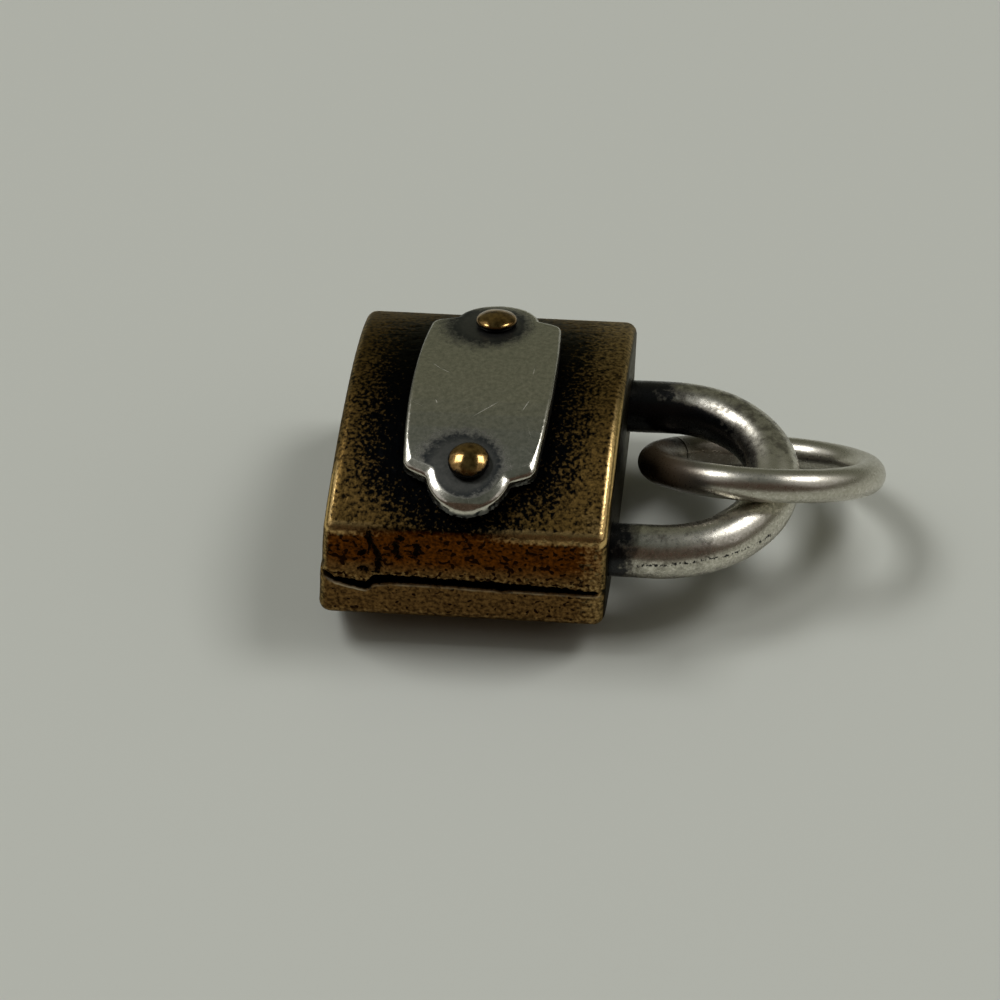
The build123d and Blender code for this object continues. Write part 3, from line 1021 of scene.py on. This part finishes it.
@dataclass
class SilverPlaque:
    """The bent silver plate with a round lobe at each rivet, filed by hand."""

    spacing: float = 0.055
    thickness: float = 0.55
    under_radius: float = 15.5
    bend_height: float = -8.02
    half_width: float = 2.69
    shoulder_half_width: float = 2.47
    shoulder_y: float = 4.08
    notch_x: float = 1.58
    notch_y: float = 4.43
    lobe_centre_y: float = 4.043
    lobe_radius: float = 1.627
    offset: tuple[float, float] = (0.26, -0.5)
    turn: float = math.radians(-1.2)
    rivet_spacing: float = 7.8
    rim_width: float = 0.12         # of the slope all round
    rim_drop: float = 0.01
    bevel_width: float = 0.34       # of the filed slope beside the near lobe
    bevel_drop: float = 0.105
    tip_width: float = 0.3          # and at the lobe's tip
    tip_drop: float = 0.2
    rim_pits: float = 0.06          # depth of the pits in the rim
    unevenness: float = 0.03
    finish: SatinSilverSheet = SatinSilverSheet()

    def outline(self) -> np.ndarray:
        """Points along the outline, in the plaque's own plane.

        Returns:
            Places about 0.03 mm apart, one row each.
        """
        steps = np.linspace(-1, 1, 401)
        sag = self.half_width - self.shoulder_half_width
        barrel = np.stack([self.half_width - sag * steps**2, self.shoulder_y * steps], axis=1)
        end_turn = math.atan2(self.notch_x, self.notch_y - self.lobe_centre_y)
        turns = end_turn * steps
        lobe = self.lobe_radius * np.stack([np.sin(turns), np.cos(turns)], axis=1)
        lobe[:, 1] += self.lobe_centre_y
        share = (steps[:, None] + 1) / 2
        corner = np.array([self.shoulder_half_width, self.shoulder_y])
        notch = np.array([self.notch_x, self.notch_y])
        shoulder = corner * (1 - share) + notch * share
        parts = []
        for side in (-1, 1):
            parts.append(barrel * (side, 1))
            parts.append(lobe * (1, side))
            parts += [shoulder * (side, end) for end in (-1, 1)]
        return np.concatenate(parts)

    def own_places(self, points: np.ndarray) -> tuple[np.ndarray, np.ndarray, np.ndarray]:
        """Places in the plaque's own plane, and the height above its underside.

        Args:
            points: places in the frame, in millimetres.

        Returns:
            Along its width, along its length and above its underside.
        """
        x = points[:, 0] - self.offset[0]
        y = points[:, 1] - self.offset[1]
        cosine, sine = math.cos(self.turn), math.sin(self.turn)
        height = np.hypot(points[:, 1], points[:, 2] - self.bend_height) - self.under_radius
        return x * cosine + y * sine, y * cosine - x * sine, height

    def file_edges(self, mesh: bpy.types.Mesh) -> None:
        """Slopes the rim as a file does, most at the near lobe and corners.

        Args:
            mesh: the even mesh of the plate.
        """
        outline = self.outline()
        tree = KDTree(len(outline))
        for number, (x, y) in enumerate(outline):
            tree.insert((x, y, 0.0), number)
        tree.balance()
        points = read_points(mesh)
        own_x, own_y, height = self.own_places(points)
        gap = np.array([tree.find((x, y, 0.0))[2] for x, y in zip(own_x, own_y)])
        tip = smooth_step(-own_y, 5.45, 5.65)
        near = smooth_step(-own_y, 2.6, 4.2)
        width, drop = (
            rim + (bevel - rim) * near + (at_tip - bevel) * tip
            for rim, bevel, at_tip in (
                (self.rim_width, self.bevel_width, self.tip_width),
                (self.rim_drop, self.bevel_drop, self.tip_drop),
            )
        )
        share = np.clip(1 - gap / width, 0, 1)
        level = np.clip(height / self.thickness, 0, 1)
        points[:, 2] -= drop * share * level
        write_points(mesh, points)
        # The rim is darker, more on the left, except where it was filed bright near the notches.
        left = smooth_step(own_x, 0.5, -1.5)
        filed = smooth_step(-own_y, 1.5 + 1.6 * left, 3.6 + 0.3 * left)
        grime = smooth_step(gap, 0.13, 0.02) * (0.35 + 0.5 * left) * (1 - filed)
        # The lower part of the cut edge, next to the body, is made darker still.
        under_rim = smooth_step(level, 0.75, 0.4) * smooth_step(gap, 0.1, 0.05)
        write_attribute(mesh, "grime", np.maximum(grime, under_rim * (0.8 + 0.1 * tip)))
        write_attribute(mesh, "unfiled", 1 - near * smooth_step(gap, width + 0.05, width - 0.05))
        rough = smooth_step(gap, 0.1, 0.03) * smooth_step(level, 0.75, 0.45)
        write_attribute(mesh, "rough_rim", rough * smooth_step(-own_y, 3.6, 4.6))

    def plate_tree(self) -> Any:
        """Builds the tree that gives the plate its hand-worked unevenness.

        Returns:
            The geometry tree.
        """
        tree, add, given = new_geometry_tree(
            "plate_working", {"Rim Pits": "Float", "Unevenness": "Float"}
        )
        place = add(Kind.POSITION)
        rough = add(Kind.NAMED, {"Name": "rough_rim"})
        grain = add(Kind.SEEDED_NOISE, {"Vector": place, "W": SEED, "Scale": 4.5, "Roughness": 0.6})
        bite = add(Kind.SMOOTH, {0: grain, 1: 0.42, 2: 0.62})
        pits = add(Kind.MULTIPLY, {0: bite, 1: rough})
        drop = add(Kind.MULTIPLY, {0: pits, 1: given["Rim Pits"]})
        wave = add(Kind.SEEDED_NOISE, {"Vector": place, "W": SEED, "Scale": 0.55, "Detail": 1.0})
        total = add(Kind.MULTIPLY_ADD, {0: wave, 1: given["Unevenness"], 2: drop})
        marked = add(Kind.STORE, {"Geometry": given["Geometry"], "Name": "pit", "Value": pits})
        return finish_tree(tree, sink(add, marked, total), given["Finish"])

    def rivet_seat(self, side: int) -> tuple[Vector, Vector]:
        """Where a rivet's head sits on the plate.

        Args:
            side: -1 for the near rivet, 1 for the far one.

        Returns:
            The place in millimetres and the unit vector out of the plate.
        """
        reach = side * self.rivet_spacing / 2
        x = self.offset[0] - math.sin(self.turn) * reach
        y = self.offset[1] + math.cos(self.turn) * reach
        radius = self.under_radius + self.thickness
        lean = math.asin(y / radius)
        axis = Vector((0, math.sin(lean), math.cos(lean)))
        return Vector((x, y, self.bend_height + radius * math.cos(lean))), axis

    def build(self) -> bpy.types.Object:
        """Builds and dresses the plaque.

        Returns:
            The piece.
        """
        mesh = even_mesh(node_copy("plaque"), "even_plaque", self.spacing)
        self.file_edges(mesh)
        rivets = [self.rivet_seat(side)[0] for side in (-1, 1)]
        finished = apply_tree(
            mesh,
            "silver_plaque",
            self.plate_tree(),
            {
                "Rim Pits": self.rim_pits,
                "Unevenness": self.unevenness,
                "Finish": self.finish.material(rivets),
            },
        )
        return place_piece(finished, "silver_plaque", ["plaque"])


@dataclass
class PeenedRivet:
    """One brass rivet: a cushion-shaped head on its shank."""

    name: str
    node: str
    seat: Vector
    axis: Vector
    head_radius: float = 0.78
    head_height: float = 0.5
    foot_share: float = 0.92        # radius of the foot, in head radii
    wall_share: float = 0.98
    cap_radius: float = 1.35
    shoulder_radius: float = 0.16
    shank_radius: float = 0.45
    shank_length: float = 2.15
    clearance: float = 0.03
    unevenness: float = 0.05
    sides: int = 96
    finish: RubbedBrassRivet = RubbedBrassRivet()

    def profile(self) -> list[tuple[float, float]]:
        """Distance from the axis and height of each ring, from the foot to the top.

        Returns:
            The profile's places, in millimetres: shank, wall, rounded shoulder, domed cap.
        """
        places = [
            (0.0, -self.shank_length),
            (self.shank_radius, -self.shank_length),
            (self.shank_radius, self.clearance),
            (self.head_radius * self.foot_share, self.clearance),
            (self.head_radius * self.wall_share, self.clearance + 0.05),
        ]
        flat_radius = self.head_radius - self.shoulder_radius
        reach = self.cap_radius - self.shoulder_radius
        cap_turn = math.asin(flat_radius / reach)
        cap_centre = self.head_height - self.cap_radius
        shoulder_height = cap_centre + reach * math.cos(cap_turn)
        steps = 14
        shoulder = [
            math.pi / 2 + (cap_turn - math.pi / 2) * step / steps for step in range(steps + 1)
        ]
        cap = [cap_turn * (1 - step / steps) for step in range(1, steps)]
        for turns, radius, middle, height in (
            (shoulder, self.shoulder_radius, flat_radius, shoulder_height),
            (cap, self.cap_radius, 0.0, cap_centre),
        ):
            for turn in turns:
                places.append((middle + radius * math.sin(turn), height + radius * math.cos(turn)))
        return [*places, (0.0, self.head_height)]

    def lathe_tree(self) -> Any:
        """Builds the tree that turns the profile about the rivet's axis.

        Returns:
            The geometry tree.
        """
        inputs = {"Sides": "Int", "Unevenness": "Float", "Seed": "Float"}
        tree, add, given = new_geometry_tree(
            "peened_rivet", {**inputs, "Seat": "Vector", "Lean": "Vector"}
        )
        profile = add(Kind.MESH_TO_CURVE, {"Mesh": given["Geometry"]})
        # A ring so small that only the profile's own distance from the axis counts.
        no_radius = 0.00001
        ring = add(Kind.CIRCLE, {"Resolution": given["Sides"], "Radius": no_radius})
        turned = add(Kind.CURVE_TO_MESH, {"Curve": ring, "Profile Curve": profile})
        welded = add(Kind.WELD, {"Geometry": turned, "Distance": 0.0008})
        place = add(Kind.POSITION)
        blow = add(
            Kind.SEEDED_NOISE,
            {"Vector": place, "W": given["Seed"], "Scale": 1.3, "Detail": 1.0},
            "Color",
        )
        centred = add(Kind.VECTOR_SUBTRACT, {0: blow, 1: (0.5, 0.5, 0.8)})
        scaled = add(Kind.VECTOR_SCALE, {0: centred, "Scale": given["Unevenness"]})
        uneven = add(Kind.SET_POSITION, {"Geometry": welded, "Offset": scaled})
        placed = add(
            Kind.TRANSFORM,
            {"Geometry": uneven, "Translation": given["Seat"], "Rotation": given["Lean"]},
        )
        return finish_tree(tree, placed, given["Finish"])

    def build(self, seed: float) -> bpy.types.Object:
        """Builds and dresses the rivet.

        Args:
            seed: chooses how the hammer left the head.

        Returns:
            The piece.
        """
        profile = [(radius, -height) for radius, height in self.profile()]
        lean = math.atan2(-self.axis.y, self.axis.z)
        finished = apply_tree(
            chain_mesh(self.name + "_profile", [profile]),
            self.name,
            self.lathe_tree(),
            {
                "Sides": self.sides,
                "Unevenness": self.unevenness,
                "Seed": seed,
                "Seat": tuple(self.seat),
                "Lean": (lean, 0.0, 0.0),
                "Finish": self.finish.material(self.seat, self.axis),
            },
        )
        work = bmesh.new()
        work.from_mesh(finished)
        bmesh.ops.recalc_face_normals(work, faces=work.faces)
        work.to_mesh(finished)
        work.free()
        return place_piece(finished, self.name, [self.node])


def wire_tree() -> Any:
    """Builds the tree that sweeps round wire along a path in a plane.

    Returns:
        The geometry tree, which keeps side, drop, pit and flaw_gap for the finish.
    """
    inputs = {"Sides": "Int", "Middle": "Vector", "Lean": "Vector", "Flaws": "Object"}
    for name in ("Wire Radius", "Ring Spacing", "Unevenness", "Pit Depth", "Pit Amount", "Seed"):
        inputs[name] = "Float"
    tree, add, given = new_geometry_tree("swept_wire", inputs)
    path = add(Kind.MESH_TO_CURVE, {"Mesh": given["Geometry"]})
    even = add(Kind.RESAMPLE, {"Curve": path, "Length": given["Ring Spacing"]})
    upright = add(Kind.UPRIGHT, {"Curve": even})
    section = add(Kind.CIRCLE, {"Resolution": given["Sides"], "Radius": given["Wire Radius"]})
    section_place = add(Kind.POSITION)
    section_axes = add(Kind.AXES, {0: section_place}).node
    for name, axis in (("side", "X"), ("drop", "Y")):
        share = add(Kind.DIVIDE, {0: section_axes.outputs[axis], 1: given["Wire Radius"]})
        section = add(Kind.STORE, {"Geometry": section, "Name": name, "Value": share})
    swept = add(
        Kind.CURVE_TO_MESH, {"Curve": upright, "Profile Curve": section, "Fill Caps": True}
    )
    place = add(Kind.POSITION)
    pit_noise = add(
        Kind.SEEDED_NOISE, {"Vector": place, "W": given["Seed"], "Scale": 5.0, "Detail": 1.0}
    )
    where = add(
        Kind.SEEDED_NOISE, {"Vector": place, "W": given["Seed"], "Scale": 0.8, "Detail": 1.0}
    )
    both = add(Kind.MULTIPLY_ADD, {0: where, 1: 0.6, 2: pit_noise})
    chosen = add(Kind.ADD, {0: both, 1: given["Pit Amount"]})
    pits = add(Kind.SMOOTH, {0: chosen, 1: 1.5, 2: 1.62})
    wave = add(Kind.SEEDED_NOISE, {"Vector": place, "W": given["Seed"], "Scale": 0.7})
    pit_drop = add(Kind.MULTIPLY, {0: pits, 1: given["Pit Depth"]})
    drop = add(Kind.MULTIPLY_ADD, {0: wave, 1: given["Unevenness"], 2: pit_drop})
    marked = add(Kind.STORE, {"Geometry": swept, "Name": "pit", "Value": pits})
    worked = sink(add, marked, drop)
    placed = add(
        Kind.TRANSFORM,
        {"Geometry": worked, "Translation": given["Middle"], "Rotation": given["Lean"]},
    )
    # Where no flaw is given, every place counts as far from one.
    far_away = 10.0
    flaws = add(Kind.OBJECT_INFO, {0: given["Flaws"]}, "Geometry")
    found = add(Kind.PROXIMITY, {0: flaws}, target_element="EDGES").node
    no_flaw = add(Kind.SUBTRACT, {0: 1.0, 1: found.outputs["Is Valid"]})
    near_flaw = add(Kind.MULTIPLY_ADD, {0: no_flaw, 1: far_away, 2: found.outputs["Distance"]})
    flawed = add(Kind.STORE, {"Geometry": placed, "Name": "flaw_gap", "Value": near_flaw})
    return finish_tree(tree, flawed, given["Finish"])


@dataclass
class Shackle:
    """The silver shackle: round wire bent to a U, black next to the body."""

    wire_radius: float = 1.03
    leg_y: float = 4.16
    leg_start_x: float = 3.345
    bow_centre_x: float = 6.975
    height: float = 3.28
    sides: int = 100
    ring_spacing: float = 0.072
    unevenness: float = 0.05
    pit_depth: float = 0.02
    pit_amount: float = 0.45        # the larger, the more pits
    seed: float = 3.0
    # The drawing flaw along the near leg: places on the wire.
    hairline: tuple[tuple[float, float, float], ...] = (
        (6.4, -5.17, 3.45),
        (7.6, -5.12, 3.5),
        (8.73, -4.84, 3.57),
        (9.5, -4.5, 3.5),
        (10.16, -4.07, 3.47),
        (11.2, -2.99, 3.32),
    )
    finish: SilverWireFinish = SilverWireFinish("silver_wire_brushed_and_oxidised")

    def path(self) -> np.ndarray:
        """The wire's centre line, near leg first.

        Returns:
            Places in the shackle's plane, in millimetres.
        """
        turns = np.linspace(-math.pi / 2, math.pi / 2, 181)
        bow = np.stack(
            [self.bow_centre_x + self.leg_y * np.cos(turns), self.leg_y * np.sin(turns)], axis=1
        )
        starts = np.array([[self.leg_start_x, -self.leg_y]])
        return np.concatenate([starts, bow, starts * (1, -1)])

    def mark_black(self, mesh: bpy.types.Mesh) -> None:
        """Marks where the wire is black: oxide next to the body, reaching farther along the
        far leg's underside and inside, where it is partly painted shade.

        Args:
            mesh: the swept wire.
        """
        x, y, _ = read_points(mesh).T
        # Painted shade: on the far leg the black reaches farther on the side that faces down and
        # inwards, towards the body and the shaded table.
        under = 0.66 * -read_attribute(mesh, "side") + 0.74 * read_attribute(mesh, "drop")
        far = smooth_step(y, 0.0, 1.0)
        reach = 6.1 + far * (
            0.3 + 2.6 * smooth_step(under, -0.3, 0.15) + 1.6 * smooth_step(under, 0.3, 0.7)
        )
        black = smooth_step(x - reach, 1.3 + 1.4 * far, -1.2)
        dull = 0.2 * smooth_step(y, 0.0, -2.0) * smooth_step(x, 10.5, 8.5)
        grey = 0.3 * far * smooth_step(x, 6.9, 8.1)
        write_attribute(mesh, "blackened", np.max([black, dull, grey], axis=0))

    def build(self, tree: Any) -> bpy.types.Object:
        """Builds and dresses the shackle.

        Args:
            tree: the tree that sweeps wire.

        Returns:
            The piece.
        """
        flaws = working_object("hairline", chain_mesh("hairline", [self.hairline]))
        finished = apply_tree(
            chain_mesh("shackle_path", [self.path()]),
            "silver_shackle",
            tree,
            {
                "Wire Radius": self.wire_radius,
                "Ring Spacing": self.ring_spacing,
                "Sides": self.sides,
                "Unevenness": self.unevenness,
                "Pit Depth": self.pit_depth,
                "Pit Amount": self.pit_amount,
                "Seed": self.seed,
                "Middle": (0.0, 0.0, self.height),
                "Flaws": flaws,
                "Finish": self.finish.material(),
            },
        )
        bpy.data.objects.remove(flaws)
        self.mark_black(finished)
        return place_piece(finished, "silver_shackle", ["shackle"])


@dataclass
class JumpRing:
    """The jump ring: round wire bent to a ring, its ends butted, leaning on the shackle."""

    wire_radius: float = 0.645
    mean_radius: float = 4.1
    joint_gap: float = 0.07
    joint_turn: float = math.radians(148)
    middle: tuple[float, float, float] = (10.595, 1.4, 2.829)
    lean: float = math.radians(-32.03)
    dip: float = math.radians(1.3)
    sides: int = 64
    ring_spacing: float = 0.08
    unevenness: float = 0.02
    pit_depth: float = 0.02
    pit_amount: float = 0.38
    seed: float = 11.0
    finish: SilverWireFinish = SilverWireFinish(
        "silver_wire_satin", "#d0ccc0", oxide="#5a4c3a", roughness=0.3, ragged=0.3, fade=0.7
    )

    def path(self) -> np.ndarray:
        """The wire's centre line, from one butted end round to the other.

        Returns:
            Places in the ring's plane, in millimetres.
        """
        half_gap = self.joint_gap / self.mean_radius / 2
        turns = np.linspace(
            self.joint_turn + half_gap, self.joint_turn + 2 * math.pi - half_gap, 361
        )
        return self.mean_radius * np.stack([np.cos(turns), np.sin(turns)], axis=1)

    def mark_black(self, mesh: bpy.types.Mesh) -> None:
        """Marks the tarnish on the part of the ring that hangs inside the shackle.

        Args:
            mesh: the swept wire.
        """
        x, y, _ = read_points(mesh).T
        black = smooth_step(x + 0.25 * (y - 1.4), 9.2, 5.8)
        brown = 0.5 * smooth_step(y, 2.0, 3.2) * smooth_step(x, 10.6, 9.0)
        write_attribute(mesh, "blackened", np.maximum(black, brown))

    def build(self, tree: Any) -> bpy.types.Object:
        """Builds and dresses the ring.

        Args:
            tree: the tree that sweeps wire.

        Returns:
            The piece.
        """
        finished = apply_tree(
            chain_mesh("ring_path", [self.path()]),
            "silver_jump_ring",
            tree,
            {
                "Wire Radius": self.wire_radius,
                "Ring Spacing": self.ring_spacing,
                "Sides": self.sides,
                "Unevenness": self.unevenness,
                "Pit Depth": self.pit_depth,
                "Pit Amount": self.pit_amount,
                "Seed": self.seed,
                "Middle": self.middle,
                "Lean": (self.lean, self.dip, 0.0),
                "Finish": self.finish.material(),
            },
        )
        self.mark_black(finished)
        return place_piece(finished, "silver_jump_ring", ["jump_ring"])


@dataclass(frozen=True)
class Window:
    """One soft window light, given by the direction that it shines from."""

    name: str
    azimuth: float          # degrees from +X towards +Y
    elevation: float        # degrees
    width: float            # metres
    height: float
    power: float            # watts
    colour: str

    def towards(self) -> Vector:
        """Unit vector from the object to the window."""
        azimuth, elevation = math.radians(self.azimuth), math.radians(self.elevation)
        level = math.cos(elevation)
        return Vector((math.cos(azimuth) * level, math.sin(azimuth) * level, math.sin(elevation)))


@dataclass
class Studio:
    """A plain pale table, two windows, the pale walls that they light and a dim room."""

    table: str = "#d3d6cc"
    in_front: str = "#483b32"
    behind: str = "#606153"
    overhead: str = "#4a4e48"
    table_half: float = 3.0         # metres
    distance: float = 2.0           # metres from the object to each light
    windows: tuple[Window, ...] = (
        Window("left_window", 165.0, 56.0, 0.85, 0.62, 13.2, "#f8f8fb"),
        Window("right_window", 20.0, 56.0, 0.75, 0.62, 11.4, "#faf9fb"),
        Window("left_wall", 178.0, 42.0, 2.6, 1.5, 5.0, "#f8f8fb"),
        Window("right_wall", 2.0, 42.0, 2.4, 1.5, 4.6, "#faf9fb"),
    )

    def make_table(self) -> None:
        """Lays the table top under the object."""
        half = self.table_half
        mesh = bpy.data.meshes.new("table_top")
        mesh.from_pydata(
            [(-half, -half, 0), (half, -half, 0), (half, half, 0), (-half, half, 0)],
            [],
            [(0, 1, 2, 3)],
        )
        table = working_object("table_top", mesh)
        material, _, shader, _ = new_material("table_pale_satin_laminate")
        set_inputs(shader, {"Base Color": self.table, "Roughness": 0.38})
        mesh.materials.append(material)

    def light_windows(self) -> None:
        """Hangs the soft windows, each facing the object."""
        for window in self.windows:
            towards = window.towards()
            light = bpy.data.lights.new(window.name, "AREA")
            light.shape = "RECTANGLE"
            light.size = window.width
            light.size_y = window.height
            light.energy = window.power
            light.color = linear(window.colour)[:3]
            obj = bpy.data.objects.new(window.name, light)
            obj.location = towards * self.distance
            obj.rotation_euler = towards.to_track_quat("Z", "Y").to_euler()
            bpy.context.scene.collection.objects.link(obj)

    def dim_room(self) -> None:
        """Surrounds the table with a plain dim room, warmer in front and darker overhead."""
        world = bpy.data.worlds.new("dim_room")
        world.use_nodes = True
        world.node_tree.nodes.clear()
        add = partial(add_node, world.node_tree)
        direction = add(Kind.COORDINATES, None, "Generated")
        axes = add(Kind.AXES, {0: direction}).node
        backward = add(Kind.SMOOTH, {0: axes.outputs["Y"], 1: -0.8, 2: 0.8})
        wall = add(Kind.MIX, {0: backward, 6: self.in_front, 7: self.behind})
        upward = add(Kind.SMOOTH, {0: axes.outputs["Z"], 1: 0.75, 2: 0.92})
        room = add(Kind.MIX, {0: upward, 6: wall, 7: self.overhead})
        background = add(Kind.BACKGROUND, {"Color": room, "Strength": 1.0})
        add(Kind.WORLD_OUTPUT, {"Surface": background})
        bpy.context.scene.world = world

    def build(self) -> None:
        """Builds the table, the lights and the room."""
        self.make_table()
        self.light_windows()
        self.dim_room()


@dataclass
class ProductCamera:
    """The camera, set where the photograph was taken from."""

    place: tuple[float, float, float] = (17.7639, -123.7137, 111.7)     # millimetres
    right: tuple[float, float, float] = (0.993456, 0.109999, -0.030762)
    up: tuple[float, float, float] = (-0.049808, 0.659580, 0.749983)
    back: tuple[float, float, float] = (0.102788, -0.743542, 0.660742)
    lens: float = 156.28        # millimetres
    sensor: float = 36.0        # millimetres, its width

    def build(self) -> None:
        """Makes the camera and gives it to the scene."""
        data = bpy.data.cameras.new("product_camera")
        data.lens = self.lens
        data.sensor_width = self.sensor
        data.clip_start = 0.01
        data.clip_end = 10.0
        camera = bpy.data.objects.new("product_camera", data)
        bpy.context.scene.collection.objects.link(camera)
        axes = Matrix((self.right, self.up, self.back)).transposed().to_4x4()
        camera.matrix_world = Matrix.Translation(Vector(self.place) * MILLIMETRE) @ axes
        bpy.context.scene.camera = camera


def main() -> None:
    """Builds every piece in order, then the studio and the camera."""
    plaque = SilverPlaque()
    wire = wire_tree()
    made = [
        CastBody().build(),
        plaque.build(),
        PeenedRivet("near_rivet_head", "near_rivet", *plaque.rivet_seat(-1)).build(2.0),
        PeenedRivet(
            "far_rivet_head",
            "far_rivet",
            *plaque.rivet_seat(1),
            finish=RubbedBrassRivet(black_below=0.27),
        ).build(5.0),
        Shackle().build(wire),
        JumpRing().build(wire),
    ]
    Studio().build()
    ProductCamera().build()
    bpy.context.scene.view_settings.view_transform = "Standard"
    log.info("%d pieces made", len(made))


if __name__ == "__main__":
    main()
